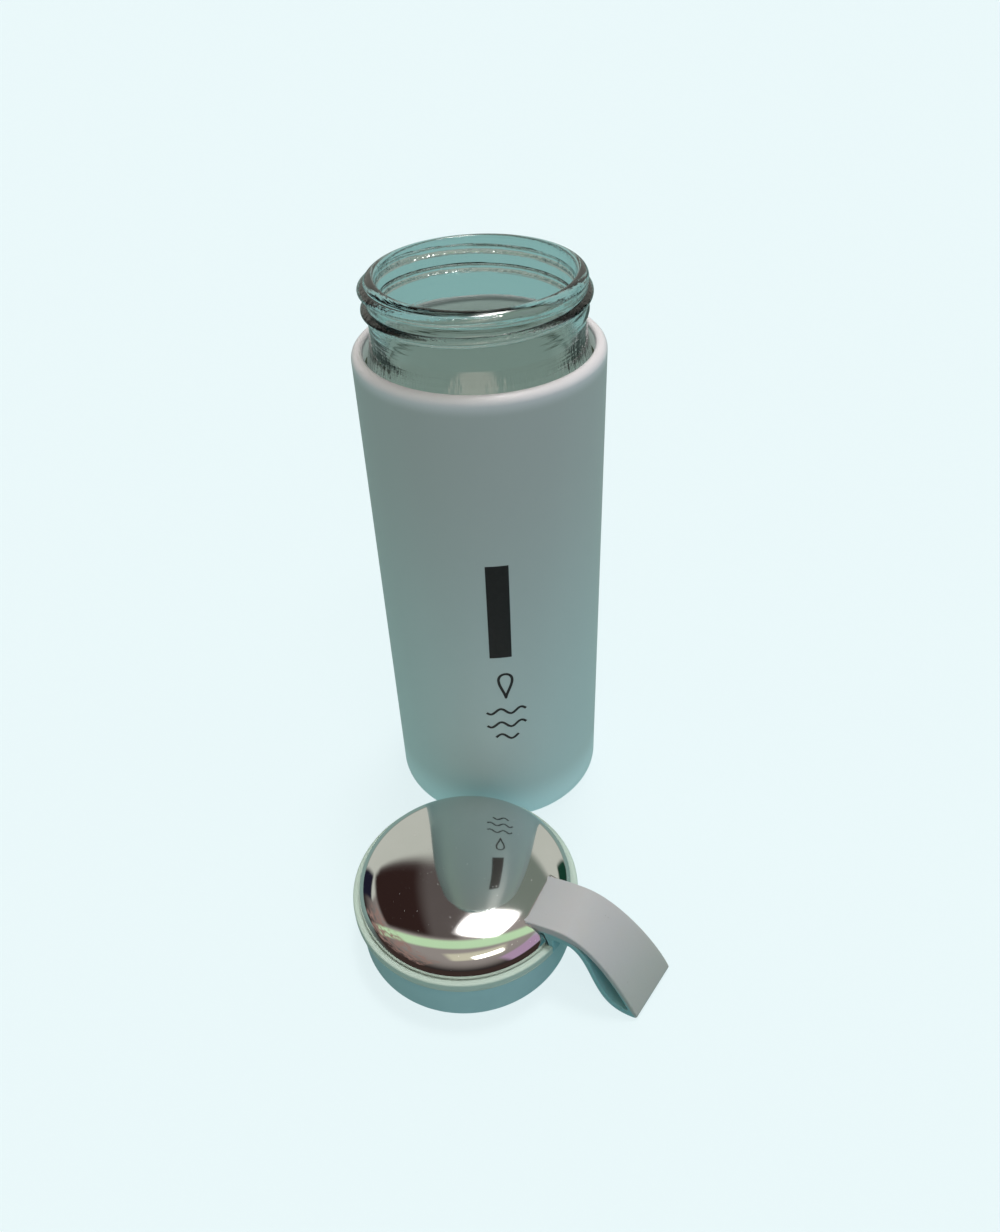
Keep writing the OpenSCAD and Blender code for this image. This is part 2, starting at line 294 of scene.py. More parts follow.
def build_room():
    """A world that shows the camera the backdrop, and everything else the room and its panels."""
    world = bpy.data.worlds.new("studio")
    bpy.context.scene.world = world
    tree = Tree(world)
    direction = tree.node("ShaderNodeTexCoord", output=0)
    height, depth = tree.part(direction, 2), tree.part(direction, 1)
    low = tree.blend(tree.mirrored(), (0.13, 0.16, 0.15), (0.035, 0.028, 0.027))
    colour = tree.blend(height.step(0.0, 0.9), low, (0.36, 0.32, 0.30))
    beam = depth.step(-0.17, -0.10) * depth.step(0.08, 0.02) * height.step(0.1, 0.4)
    colour = tree.blend(beam, colour, (0.62, 0.88, 0.55))
    mess = tree.noise(direction, 9, 4, 0.7).step(0.42, 0.60)
    for name, tint, strength, *where in PANELS:
        share = panel(tree, direction, *where)
        lit = tuple(c * strength for c in tint)
        colour = tree.blend(share * mess if name == "clutter" else share, colour, lit)
    colour = tree.blend(tree.through_glass() * 0.65, colour, (0.19, 0.25, 0.235))
    fill = panel(tree, direction, 180, 18, 52, 24, 8) * tree.ray("Is Diffuse Ray")
    colour = tree.blend(fill * 0.55, colour, (0.50, 0.56, 0.56))
    room = tree.node("ShaderNodeBackground", None, {"Color": colour})
    plain = tree.node("ShaderNodeBackground", None, {"Color": pad(BACKDROP)})
    shown = tree.node("ShaderNodeMixShader", None, [tree.ray("Is Camera Ray"), room, plain])
    tree.node("ShaderNodeOutputWorld", None, {"Surface": shown})


build_room()
print("room with", len(PANELS), "panels")

# %% [markdown]
# ## The floor
# A large pale floor. To the camera it is a near-white paper sweep, and to every other ray it is a mid teal
# table, as if the object stood on a cutting mat and the paper were only a backdrop. In a mirror the table is
# greyer behind the cap and almost black in front of it, a painted shade that only reflections see.

# %% Floor
def build_floor(half=4.0):
    """One square of the table's plane, pale to the camera and teal to reflected and refracted light."""
    mesh = bpy.data.meshes.new("floor")
    corners = [(x * half, y * half, -0.0002) for x, y in ((-1, -1), (1, -1), (1, 1), (-1, 1))]
    mesh.from_pydata(corners, [], [(0, 1, 2, 3)])
    floor = bpy.data.objects.new("floor", mesh)
    bpy.context.scene.collection.objects.link(floor)
    material = bpy.data.materials.new("floor")
    tree = Tree(material)
    paper = tree.node("ShaderNodeBsdfDiffuse", None, {"Color": pad(BACKDROP)})
    glow = tree.node("ShaderNodeEmission", None, {"Color": pad(BACKDROP), "Strength": 1.0})
    pale = tree.node("ShaderNodeMixShader", None, [0.85, paper, glow])
    # painted shade: for reflected rays the table turns near black in front of the cap
    behind_cap = tree.part(tree.place(), 1).step(-0.11, -0.05)
    mirrored_table_with_painted_shade = tree.blend(behind_cap, (0.05, 0.032, 0.028), (0.26, 0.38, 0.35))
    colour = tree.blend(tree.mirrored(), (0.25, 0.44, 0.44), mirrored_table_with_painted_shade)
    table = tree.node("ShaderNodeEmission", None, {"Color": colour, "Strength": 1.0})
    surface = tree.node("ShaderNodeMixShader", None, [tree.ray("Is Camera Ray"), table, pale])
    tree.node("ShaderNodeOutputMaterial", None, {"Surface": surface})
    mesh.materials.append(material)
    return floor


floor = build_floor()
print("floor", floor.dimensions.x, "m across")

# %% [markdown]
# ## Surfaces from formulas
# Every new piece is a grid of points. `skin` joins the grid into four-sided faces, closes it where a row or
# a column comes back to its start, and melts the points that fall together at a pole.

# %% A mesh from a grid of points
def skin(name, points, wrap_rows=False, wrap_columns=True, keep=None):
    """Faces between neighbours of a (rows, columns, 3) grid. keep says which faces of the grid are made."""
    rows, columns = points.shape[:2]
    row = np.arange(rows if wrap_rows else rows - 1)[:, None]
    column = np.arange(columns if wrap_columns else columns - 1)[None, :]
    next_row, next_column = (row + 1) % rows, (column + 1) % columns
    corners = [row * columns + column, row * columns + next_column,
               next_row * columns + next_column, next_row * columns + column]
    quads = np.stack(np.broadcast_arrays(*corners), axis=-1)
    quads = quads[keep] if keep is not None else quads.reshape(-1, 4)
    mesh = bpy.data.meshes.new(name)
    mesh.from_pydata(points.reshape(-1, 3).tolist(), [], quads.tolist())
    return mesh


def tidy_mesh(mesh, turn_out=True, sharp=40):
    """Melts points that fall together, drops loose ones, turns faces outward and shades them smooth."""
    work = bmesh.new()
    work.from_mesh(mesh)
    bmesh.ops.remove_doubles(work, verts=work.verts, dist=1e-7)
    bmesh.ops.delete(work, geom=[v for v in work.verts if not v.link_faces], context="VERTS")
    if turn_out:
        bmesh.ops.recalc_face_normals(work, faces=work.faces)
    work.to_mesh(mesh)
    work.free()
    mesh.shade_smooth()
    mesh.set_sharp_from_angle(angle=math.radians(sharp))
    return mesh


def piece(name, mesh, body, material, stands_for=()):
    """Puts a finished mesh into the scene, riding on its body and dressed in its material."""
    made = bpy.data.objects.new(name, mesh)
    bpy.context.scene.collection.objects.link(made)
    mesh.materials.append(material)
    if body:
        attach(made, body)
    if stands_for:
        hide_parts(*stands_for)
    print(f"{name}: {len(mesh.polygons)} faces")
    return made


# %% Profiles of turned pieces
def arc(centre, radius, start, end, steps=8):
    """Points on a circle in the (radius, height) plane, from one angle in degrees to another."""
    angle = np.radians(np.linspace(start, end, steps + 1))
    return np.stack([centre[0] + radius * np.cos(angle), centre[1] + radius * np.sin(angle)], axis=1)


def chain(*stretches):
    """One outline from several stretches, each a list of points."""
    return np.concatenate([np.atleast_2d(np.asarray(s, float)) for s in stretches])


def smooth(t):
    """A soft step from 0 to 1: three t squared less two t cubed."""
    t = np.clip(t, 0, 1)
    return t * t * (3 - 2 * t)


def densify(outline, longest):
    """The same outline with no stretch longer than that, so that relief on it has points to move."""
    lengths = np.linalg.norm(np.diff(outline, axis=0), axis=1)
    counts = np.maximum(1, np.ceil(lengths / longest).astype(int))
    parts = [outline[i] + (outline[i + 1] - outline[i]) * np.linspace(0, 1, n, endpoint=False)[:, None]
             for i, n in enumerate(counts)]
    return np.concatenate([*parts, outline[-1:]])


# %% A turned surface with relief
def turned(outline, columns, centre=(0, 0), relief=None):
    """A (radius, height) outline carried round an axis. relief(angle, radius, height) adds to the radius."""
    angle = np.linspace(0, 2 * np.pi, columns, endpoint=False)[None, :]
    radius, height = (np.broadcast_to(outline[:, i, None], (len(outline), columns)) for i in (0, 1))
    if relief:
        radius = radius + relief(angle, radius, height)
    return np.stack([centre[0] + radius * np.cos(angle), centre[1] + radius * np.sin(angle),
                     np.broadcast_to(height, radius.shape)], axis=-1)


def lathe(name, outline, columns=192, centre=(0, 0), relief=None, ring=True, sharp=40):
    """A turned solid: a closed ring of wall, or a shape whose outline starts and ends on the axis."""
    grid = turned(outline, columns, centre, relief)
    return tidy_mesh(skin(name, grid, wrap_rows=ring), sharp=sharp)


# %% [markdown]
# ## The screw thread
# A thread is a ridge that climbs as it goes round. At each angle its crest lies at a known height, one for
# each turn, so its relief is a bump of the distance from the nearest crest, faded at both ends.

# %% Thread relief
def thread(angle, height, low, start, turns, fade=0.16, half=1.75 * MM):
    """From 0 to 1: a cosine of the distance from the crest, to the power 1.5, on each turn at that angle."""
    share = np.mod(np.degrees(angle) - start, 360) / 360
    relief = np.zeros(np.broadcast(angle, height).shape)
    for turn in range(math.ceil(turns) + 1):
        walked = share + turn
        ends = smooth(walked / fade) * smooth((turns - walked) / fade)
        off = np.clip((height - low - walked * thread_pitch) / half, -1, 1)
        relief = np.maximum(relief, ends * np.cos(off * np.pi / 2) ** 1.5)
    return relief


print("a thread of", thread_pitch / MM, "mm pitch")

# %% [markdown]
# ## Glass
# The bottle is pressed soda-lime glass, green in its thickness, with a fire-polished rim. It has to be one
# closed body with an outside and an inside wall, because light bends at both. The mould left a seam up its
# side and threads with soft edges, which are relief on the same grid, and fine level ripples on the neck,
# which are in the material.

# %% Glass material
def glass_look(tree):
    """Level ripples round the neck, small waves of uneven thickness, and upright streaks on the thread."""
    ripples = tree.noise(tree.place((6, 6, 900)), 1.0, 3, 0.6)
    streaks = tree.noise(tree.place((700, 700, 90)), 1.0, 2, 0.6)
    waves = tree.noise(tree.place(), 90, 2)
    tint = tree.blend(waves, (0.86, 0.935, 0.905), (0.89, 0.95, 0.925))
    radius = tree.length(tree.place((1, 1, 0)))
    on_thread = radius.step(neck_r + 0.1 * MM, neck_r + 0.5 * MM)
    streaks = streaks * on_thread * radius.step(glass_r - 0.5 * MM, neck_r + 1.6 * MM)
    return {"Base Color": tint, "Normal": bump(tree, ripples * 0.6 + streaks * 2.0 + waves, 0.35, 0.0004)}


glass = finish_with("green_glass", {"Roughness": 0.0, "IOR": 1.5, "Transmission Weight": 1.0}, glass_look)

# %% Outline of the bottle's wall
def glass_outline():
    """Outside from the sole up to the rim, then inside from the rim down to the floor."""
    foot, sole, bead, punt_r = 5 * MM, glass_z + 5 * MM, 2.1 * MM, 60 * MM
    inner_r, neck_in, inner_steeper = glass_r - glass_wall, neck_r - neck_wall, 19 / 12
    rise = np.linspace(0, 1, 25)
    shoulder = np.stack([glass_r - (glass_r - neck_r) * smooth(rise),
                         shoulder_low + (shoulder_high - shoulder_low) * rise], axis=1)
    inner = np.stack([inner_r - (inner_r - neck_in) * smooth(rise * inner_steeper),
                      shoulder_low + (shoulder_high - shoulder_low) * rise], axis=1)[::-1]
    punt = arc((0, glass_z + punt_r), punt_r, -90, -70, 6)
    punt[:, 1] = glass_z + 1.2 * MM - (punt[:, 1] - glass_z) * 0.33
    outside = chain(punt, arc((glass_r - foot, glass_z + foot), foot, -90, 0), shoulder)
    neck = chain([[neck_r, shoulder_high], [neck_r, rim_z - 3.7 * MM]],
                 [[neck_r + 0.22 * MM, rim_z - 3.25 * MM]],
                 arc((neck_r + 0.3 * MM - bead, rim_z - bead), bead, 0, 90, 12))
    inside = chain(arc((neck_in + 0.7 * MM, rim_z - 0.7 * MM), 0.7 * MM, 90, 180, 6), inner,
                   arc((inner_r - foot, sole + foot), foot, 0, -90), [[0, sole]])
    return chain(outside, densify(neck, 0.18 * MM), densify(inside, 2.5 * MM))


# %% Relief of the neck
def neck_relief(angle, radius, height):
    """The thread outside, the mould's seam as a hair-thin ridge at two angles, and a slight unevenness."""
    outside = (radius > neck_r - 0.9 * MM) & (height > shoulder_high - 1 * MM)
    thread_low, thread_start, thread_turns = rim_z - 10.7 * MM, -390, 1.92
    seam_at, seam_half = math.radians(75), 0.008
    screw = thread(angle, height, thread_low, thread_start, thread_turns, half=1.45 * MM)
    seam = np.exp(-(np.abs(np.sin(angle - seam_at)) / seam_half) ** 2) * (height > shoulder_low)
    uneven = np.sin(3 * angle + height * 900) * np.sin(5 * angle - height * 500)
    inside = (radius < neck_r - 1.5 * MM) & (height > shoulder_low)
    return (outside * (thread_depth * screw + 0.08 * MM * seam) + inside * 0.06 * MM * uneven
            + outside * 0.03 * MM * uneven)


glass_mesh = lathe("bottle_glass", glass_outline(), 300, relief=neck_relief, ring=False, sharp=60)
piece("bottle_glass", glass_mesh, "bottle", glass, ["glass_bottle"])

# %% [markdown]
# ## The sleeve
# The sleeve is a glossy injection-moulded tube with a thick rounded lip. It is plain, so its finish carries
# it: a cool grey-green with light painted into its colour, greyer towards the top, paler teal at the foot as
# painted light from the table and a paler lip as painted light from above, with the soft waviness that
# moulded plastic shows in its reflections and faint smears where it was held. Its inner wall is painted with
# a faint glow, a painted light that stands in for the light inside the bottle, with one brighter painted pool
# of light on the far side.

# %% Sleeve material
def sleeve_look(tree):
    """Colour by height with painted light, cloudy smears in the gloss, a slow waviness, and a painted glow on
    the inner wall only.
    """
    height = tree.part(tree.place(), 2)
    cloud = tree.noise(tree.place((1, 1, 0.35)), 42, 4, 0.6)
    # painted light: the colour runs from paler teal at the foot to greyer at the top, for how the light falls
    rise = (height / sleeve_h).step(0.0, 1.0)
    colour = tree.blend(rise, (0.60, 0.78, 0.79), (0.53, 0.55, 0.545))
    colour = tree.blend(cloud * 0.22, colour, (0.50, 0.54, 0.54))
    # painted light: the lip is paler, as if lit from above
    colour = tree.blend(height.step(sleeve_h - 5 * MM, sleeve_h - 1 * MM), colour, (0.84, 0.81, 0.85))
    # painted light: the lowest 16 mm turn paler teal, as if lit from the table
    colour = tree.blend(height.step(16 * MM, 2 * MM), colour, (0.74, 0.97, 1.0))
    radius = tree.length(tree.place((1, 1, 0)))
    # painted light: the inner wall below the lip glows with an emission of its own
    painted_glow_mask = radius.step(bore_r + 0.7 * MM, bore_r + 0.2 * MM)
    painted_glow_mask = painted_glow_mask * height.step(sleeve_h - 0.6 * MM, sleeve_h - 1.6 * MM)
    # painted light: a brighter painted pool of glow on the far side of the inner wall
    spot = tree.place((1 / 0.008, 0, 1 / 0.012), (-0.0018, 0, 0.112))
    far_side = tree.part(tree.place(), 1).step(0, 0.01)
    glow = tree.blend(tree.length(spot).step(1.1, 0.8) * far_side, (0.170, 0.205, 0.19), (0.32, 0.30, 0.275))
    peel = tree.noise(tree.place(), 900, 2)
    wave = tree.noise(tree.place((1, 1, 0.3)), 38, 2)
    return {"Base Color": colour, "Roughness": cloud * 0.14 + 0.24,
            "Emission Color": tree.blend(painted_glow_mask, (0, 0, 0), glow),
            "Normal": bump(tree, peel * 0.04 + wave, 0.25, 0.0006)}


sleeve_plastic = finish_with("sleeve_plastic", {"IOR": 1.48, "Emission Strength": 1.0}, sleeve_look)

# %% Sleeve
def sleeve_outline():
    """A closed ring: foot, outer wall, rounded lip, the slope under the lip and the bore."""
    round_out, foot = lip_wall * 0.7, 0.8 * MM
    round_in, under = lip_wall - round_out, sleeve_h - lip_h
    wall = [[sleeve_r, z] for z in np.linspace(foot, sleeve_h - round_out, 30)[1:-1]]
    return chain([[sleeve_r - foot, 0]], arc((sleeve_r - foot, foot), foot, -90, 0, 5)[1:], wall,
                 arc((sleeve_r - round_out, sleeve_h - round_out), round_out, 0, 90, 12),
                 arc((mouth_r + round_in, sleeve_h - round_in), round_in, 90, 180, 8)[1:],
                 [[mouth_r, under + 1.4 * MM], [bore_r, under], [bore_r, 0]])


sleeve_mesh = lathe("sleeve", sleeve_outline(), 256)
piece("sleeve", sleeve_mesh, "bottle", sleeve_plastic, ["outer_sleeve"])

# %% [markdown]
# ## Seal under the lip, base and pad
# An olive ring fills the gap between the glass and the lip. A shallow cover closes the sleeve from below and
# carries a soft pad that the glass stands on. They hardly show, but they keep the underside honest.

# %% Their materials
def rubber_look(low, high, grain=500):
    """A look of two close colours mixed by fine noise, with a matching fine grain."""
    def look(tree):
        speck = tree.noise(tree.place(), grain, 4, 0.65)
        return {"Base Color": tree.blend(speck, low, high), "Roughness": speck * 0.2 + 0.42,
                "Normal": bump(tree, speck, 0.3, 0.0002)}
    return look


olive = finish_with("olive_rubber", {"IOR": 1.42}, rubber_look((0.10, 0.12, 0.07), (0.20, 0.22, 0.13)))
foam_look = rubber_look((0.55, 0.60, 0.58), (0.66, 0.70, 0.69), 900)
pad_foam = finish_with("pad_rubber", {"IOR": 1.4}, foam_look)
matte_look = rubber_look((0.34, 0.45, 0.46), (0.42, 0.53, 0.53), 1500)
base_matte = finish_with("base_plastic", {"IOR": 1.46}, matte_look)

# %% Seal and base
seal_low, seal_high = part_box("neck_seal")
seal_round, seal_middle = 0.4 * MM, bore_r - 0.45 * MM
lip_ring = chain(arc((seal_middle, seal_low.z + seal_round), seal_round, -90, 0, 4),
                 arc((seal_middle, seal_high.z - seal_round), seal_round, 0, 90, 4),
                 [[bore_r - 0.9 * MM, seal_high.z], [bore_r - 0.95 * MM, seal_low.z + 0.2 * MM]])
piece("lip_seal", lathe("lip_seal", lip_ring), "bottle", olive, ["neck_seal"])

base_high, base_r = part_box("base_cover")[1].z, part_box("base_cover")[1].x
base_wall, base_floor = 1.2 * MM, 2 * MM
steps = [[0, 0.5], [8, 0.5], [8.3, 0.8], [9.3, 0.8], [9.6, 0.5], [24, 0.5], [25, 0]]
base_outline = chain(np.array(steps) * MM, arc((base_r - 0.5 * MM, 0.5 * MM), 0.5 * MM, -90, 0, 4),
                     [[base_r, base_high], [base_r - base_wall, base_high],
                      [base_r - base_wall, base_floor], [0, base_floor]])
piece("base", lathe("base", base_outline, ring=False), "bottle", base_matte, ["base_cover"])
frame["nodes"]["shock_pad"].data.materials[0] = pad_foam

# %% [markdown]
# ## Cap: skirt and ring
# The skirt holds the thread and closes under the dome with a flat plate. The ring sits on its shoulder, a
# paler colour, with a fine double line near its lower edge and a gap cut for the loop. Where the loop's
# block passes, the ring ends in two flat faces, so the angle at which it ends depends on the radius.

# %% Their materials
def moulded_look(low, high, gloss):
    """Moulded plastic: two close colours in slow clouds, and a gloss that the clouds disturb."""
    def look(tree):
        cloud = tree.noise(tree.place(), 120, 4, 0.55)
        peel = tree.noise(tree.place(), 1600, 2)
        return {"Base Color": tree.blend(cloud, low, high), "Roughness": cloud * 0.15 + gloss,
                "Normal": bump(tree, peel * 0.3 + cloud * 0.2, 0.12, 0.0002)}
    return look


mint = finish_with("mint_plastic", {"IOR": 1.47}, moulded_look((0.47, 0.60, 0.54), (0.52, 0.65, 0.59), 0.52))
teal = finish_with("teal_plastic", {"IOR": 1.47}, moulded_look((0.38, 0.60, 0.64), (0.46, 0.70, 0.73), 0.30))
milky = finish_with("plug_plastic", {"IOR": 1.47}, moulded_look((0.62, 0.66, 0.65), (0.70, 0.74, 0.73), 0.35))
gasket = finish_with("silicone", {"IOR": 1.41}, rubber_look((0.70, 0.73, 0.72), (0.78, 0.80, 0.79), 700))

# %% Skirt
def skirt_outline():
    """From the plate's middle down the inside, round the table edge, up the outside and over the plate."""
    inner, edge, step = skirt_r - skirt_wall, 0.4 * MM, skirt_r - 0.5 * MM
    plate_z, seat = plate_top - plate_t, neck_r + 0.8 * MM
    throat = dome_r - dome_wall - 0.1 * MM
    inside = densify(np.array([[inner, ring_z + 1.2 * MM], [inner, 0.2 * MM]]), 0.25 * MM)
    return chain([[0, plate_z], [neck_r - 0.3 * MM, plate_z], [seat, rim_seat + 0.6 * MM],
                  [seat, ring_z + 2 * MM]], inside, [[inner + 0.2 * MM, 0]],
                 arc((skirt_r - edge, edge), edge, -90, 0, 4), [[skirt_r, ring_z - edge]],
                 [[skirt_r - edge, ring_z], [step, ring_z], [step, dome_z - 1.5 * MM],
                  [throat, dome_z - 0.8 * MM], [throat, rim_seat + 0.3 * MM],
                  [neck_r + 0.2 * MM, plate_top], [0, plate_top]])


def skirt_relief(angle, radius, height):
    """The inner thread, which stands inwards from the wall."""
    inner = skirt_r - skirt_wall
    on_wall = (np.abs(radius - inner) < 0.02 * MM) & (height < ring_z + 1.1 * MM)
    depth = inner - neck_r - 0.5 * MM
    thread_low, thread_turns = 3.4 * MM, 1.25
    return np.where(on_wall, -depth * thread(angle, height, thread_low, 0, thread_turns), 0)


cap_middle = (cap_x, cap_y)
skirt_mesh = lathe("cap_skirt", skirt_outline(), 240, cap_middle, skirt_relief, ring=False)
piece("cap_skirt", skirt_mesh, "cap", teal, ["cap_base"])

# %% Ring with its gap
def cut_ring(name, outline, half_gap, columns=220):
    """A closed outline carried round the cap, ending on two parallel faces half_gap either side of the loop.
    At radius r the gap takes up the angle whose sine is half_gap over r, either side."""
    start = np.arcsin(half_gap / outline[:, 0])[:, None]
    angle = strap_angle + start + (2 * np.pi - 2 * start) * np.linspace(0, 1, columns)[None, :]
    radius = outline[:, 0, None]
    grid = np.stack([cap_x + radius * np.cos(angle), cap_y + radius * np.sin(angle),
                     np.broadcast_to(outline[:, 1, None], angle.shape)], axis=-1)
    mesh = skin(name, grid, wrap_rows=True, wrap_columns=False)
    work = bmesh.new()
    work.from_mesh(mesh)
    work.verts.ensure_lookup_table()
    for column in (0, columns - 1):
        work.faces.new([work.verts[row * columns + column] for row in range(len(outline))])
    work.to_mesh(mesh)
    work.free()
    return tidy_mesh(mesh)


def ring_outline():
    """Outer face with a groove between two fine lines, rounded edges, and the ledge under the dome."""
    edge, inner, ledge = 0.5 * MM, skirt_r - 0.4 * MM, dome_r - dome_wall - 0.05 * MM
    groove = np.array([[0, 0.55], [-0.14, 0.68], [-0.14, 0.78], [0, 0.9]]) * MM + [ring_r, ring_z]
    return chain([[inner, ring_z]], arc((ring_r - edge, ring_z + edge), edge, -90, 0, 5), groove,
                 arc((ring_r - edge, dome_z - edge), edge, 0, 90, 6),
                 [[dome_r + 0.25 * MM, dome_z], [dome_r + 0.1 * MM, dome_z - 0.12 * MM],
                  [ledge, dome_z - 0.12 * MM], [ledge, dome_z - 0.7 * MM], [inner, dome_z - 1.4 * MM]])


half_gap = root_w / 2 + fit_gap
piece("cap_ring_trim", cut_ring("cap_ring_trim", ring_outline(), half_gap), "cap", mint,
      ["cap_ring"])

# %% Pieces inside the cap
for node, material in (("inner_plug", milky), ("cap_seal", gasket)):
    frame["nodes"][node].data.materials[0] = material
for side in (-1, 1):
    spot = Vector((cap_x, cap_y, 0)) + along * (slot_s - 6.5 * MM) + across * side * root_w * 0.3
    pin = np.array([[0, 2], [1.2, 2], [1.4, 1.8], [1.4, -0.1], [0, -0.1]]) * MM + [0, plate_top]
    name = f"loop_pin_{'left' if side < 0 else 'right'}"
    piece(name, lathe(name, pin, 32, spot.xy, ring=False), "cap", teal)

# %% [markdown]
# ## The chrome dome
# The dome is a thin metal shell with a slot cut in from its rim for the loop. It is flatter on top and
# rounder at the edge than an ellipse, so its section is one whose exponent is 2.7 in place of 2.
# A mirror finish shows every flaw in a mesh, so it isn't cut with a Boolean. Its two angles are laid out so
# that the slot's sides fall on grid lines: phi goes across the loop and psi along it.

# %% Chrome material
def chrome_look(tree):
    """Bright plating with hair scratches, a little haze and scattered dust."""
    centre = (cap_x, cap_y, dome_z)
    hair = tree.noise(tree.place((60, 900, 300), centre), 1.0, 4, 0.7)
    haze = tree.noise(tree.place((1, 1, 1), centre), 70, 4, 0.6)
    dust = tree.noise(tree.place((1, 1, 1), centre), 1500, 2).step(0.70, 0.78)
    dents = tree.noise(tree.place((1, 1, 1), centre), 26, 2)
    colour = tree.blend(haze, (0.70, 0.71, 0.69), (0.78, 0.78, 0.77))
    return {"Base Color": tree.blend(dust * 0.4, colour, (0.9, 0.9, 0.88)),
            "Roughness": haze * 0.07 + dust * 0.25 + 0.015,
            "Normal": bump(tree, hair * 0.01 + dents * 0.35, 0.12, 0.001)}


chrome = finish_with("dome_chrome", {"Metallic": 1.0, "IOR": 1.5}, chrome_look)

# %% Dome surface
def dome_mesh():
    """s = R cos(phi) sin(psi) along the loop and t = R sin(phi) across it. The height is the rise times
    (1 - (r / R) ^ n) ^ (1 / n), for a place r from the axis. Between the slot's sides psi stops where s
    reaches the slot; elsewhere it runs on to the rim."""
    side = math.asin(half_gap / dome_r)
    phi = np.concatenate([np.linspace(-np.pi / 2, -side, 64), np.linspace(-side, side, 26)[1:-1],
                          np.linspace(side, np.pi / 2, 64)])[:, None]
    slot = np.arcsin(slot_s / dome_r / np.cos(np.clip(phi, -side, side)))
    inner = -np.pi / 2 + (slot + np.pi / 2) * np.linspace(0, 1, 130)[None, :]
    outer = slot + (np.pi / 2 - slot) * np.linspace(0, 1, 36)[None, 1:]
    psi = np.concatenate([inner, outer], axis=1)
    s, t = dome_r * np.cos(phi) * np.sin(psi), dome_r * np.sin(phi) + 0 * psi
    inside = np.clip(1 - (np.cos(phi) * np.cos(psi)) ** 2, 0, 1) ** (dome_full / 2)
    height = dome_z + dome_rise * (1 - inside) ** (1 / dome_full)
    middle = (phi[:-1, 0] + phi[1:, 0]) / 2
    keep = (np.abs(middle)[:, None] > side) | (np.arange(psi.shape[1] - 1)[None, :] < inner.shape[1] - 1)
    grid = np.stack([cap_x + s * along.x + t * across.x, cap_y + s * along.y + t * across.y, height], axis=-1)
    return skin("dome", grid, wrap_columns=False, keep=keep)


dome = piece("dome", tidy_mesh(dome_mesh(), turn_out=False, sharp=60), "cap", chrome,
             ["chrome_cover"])
upward = sum(p.normal.z * p.area for p in dome.data.polygons)
print("dome faces point", "up" if upward > 0 else "down")
if upward < 0:
    dome.data.flip_normals()
wall = dome.modifiers.new("wall", "SOLIDIFY")
wall.thickness, wall.offset, wall.use_even_offset, wall.use_rim = dome_wall, -1, True, True
edge = dome.modifiers.new("edge", "BEVEL")
edge.width, edge.segments, edge.limit_method, edge.angle_limit = 0.14 * MM, 2, "ANGLE", math.radians(60)

# %% [markdown]
# ## The carry loop
# One moulding of soft silicone: a flat band comes out of the slot, arches over the rim, folds at the table
# and runs back to a block that fills the ring's gap. Seen from the side it is a closed outline with a
# teardrop hole, so both are drawn in the loop's own plane and carried across its width. The band's edges
# are rounded by drawing the outline in a little on the last few steps.

# %% Silicone material
def silicone_look(tree):
    """Matte silicone: grey on the face that shows, paler higher up as painted light, and teal below as
    painted shade, with fine grain, dust and stains. The grey and the painted shade part at a curve along the
    band, a straight line from the hinge to the fold with an arch added to it: arch times u times (1 - u),
    where u goes from 0 at the hinge to 1 at the fold, with the loop's skew."""
    centre, arch = tuple(hinge), 17 * MM
    height = tree.part(tree.place(), 2)
    # painted light: the silicone is paler higher up and greyer low down
    low = (height / hinge_z).step(0.15, 1.05)
    stain = tree.noise(tree.place((1, 1, 1), centre), 95, 5, 0.6)
    grain = tree.noise(tree.place((1, 1, 1), centre), 2600, 3, 0.6)
    dust = tree.noise(tree.place((1, 1, 1), centre), 700, 2).step(0.74, 0.80)
    colour = tree.blend(low, (0.40, 0.43, 0.42), (0.455, 0.46, 0.485))
    from_hinge = tree.place((1, 1, 1), centre)
    walked = tree.dot(from_hinge, along) / reach
    aside = tree.dot(from_hinge, across)
    walked = walked + walked * (aside * -1 + fold_w / 2) * (loop_skew / reach)
    middle = walked * drop * -1 + walked * (walked * -1 + 1) * arch + hinge_z
    # painted shade: teal below the curve, on the undersides and the lower band
    colour = tree.blend((height - middle).step(0.4 * MM, -0.8 * MM), colour, (0.22, 0.48, 0.52))
    colour = tree.blend(stain.step(0.5, 0.8) * 0.35, colour, (0.47, 0.46, 0.43))
    return {"Base Color": tree.blend(dust * 0.6, colour, (0.16, 0.15, 0.14)),
            "Roughness": stain * 0.15 + 0.48, "Normal": bump(tree, grain * 0.3 + stain, 0.25, 0.0003)}


loop_silicone = finish_with("loop_silicone", {"IOR": 1.42, "Sheen Weight": 0.15, "Subsurface Weight": 0.05},
                            silicone_look)

# %% Curves in the loop's plane
def cubic(points, steps=40):
    """A Bezier curve through the first and last of four points, and its unit normal, left of its run."""
    p, t = np.array(points, float), np.linspace(0, 1, steps + 1)[:, None]
    at = (1 - t) ** 3 * p[0] + 3 * (1 - t) ** 2 * t * p[1] + 3 * (1 - t) * t ** 2 * p[2] + t ** 3 * p[3]
    run = np.gradient(at, axis=0)
    run /= np.linalg.norm(run, axis=1, keepdims=True)
    return at, np.stack([-run[:, 1], run[:, 0]], axis=1)


def even(outline, gap, closed=True):
    """Points at even distances along an outline."""
    line = np.concatenate([outline, outline[:1]]) if closed else outline
    walked = np.concatenate([[0], np.cumsum(np.linalg.norm(np.diff(line, axis=0), axis=1))])
    count = int(round(walked[-1] / gap))
    at = np.linspace(0, walked[-1], count, endpoint=not closed)
    return np.stack([np.interp(at, walked, line[:, i]) for i in (0, 1)], axis=1)


def relax(outline, times):
    """Each point moved to the mean of itself and its neighbours, which rounds the corners."""
    for _ in range(times):
        outline = (np.roll(outline, 1, axis=0) + 2 * outline + np.roll(outline, -1, axis=0)) / 4
    return outline


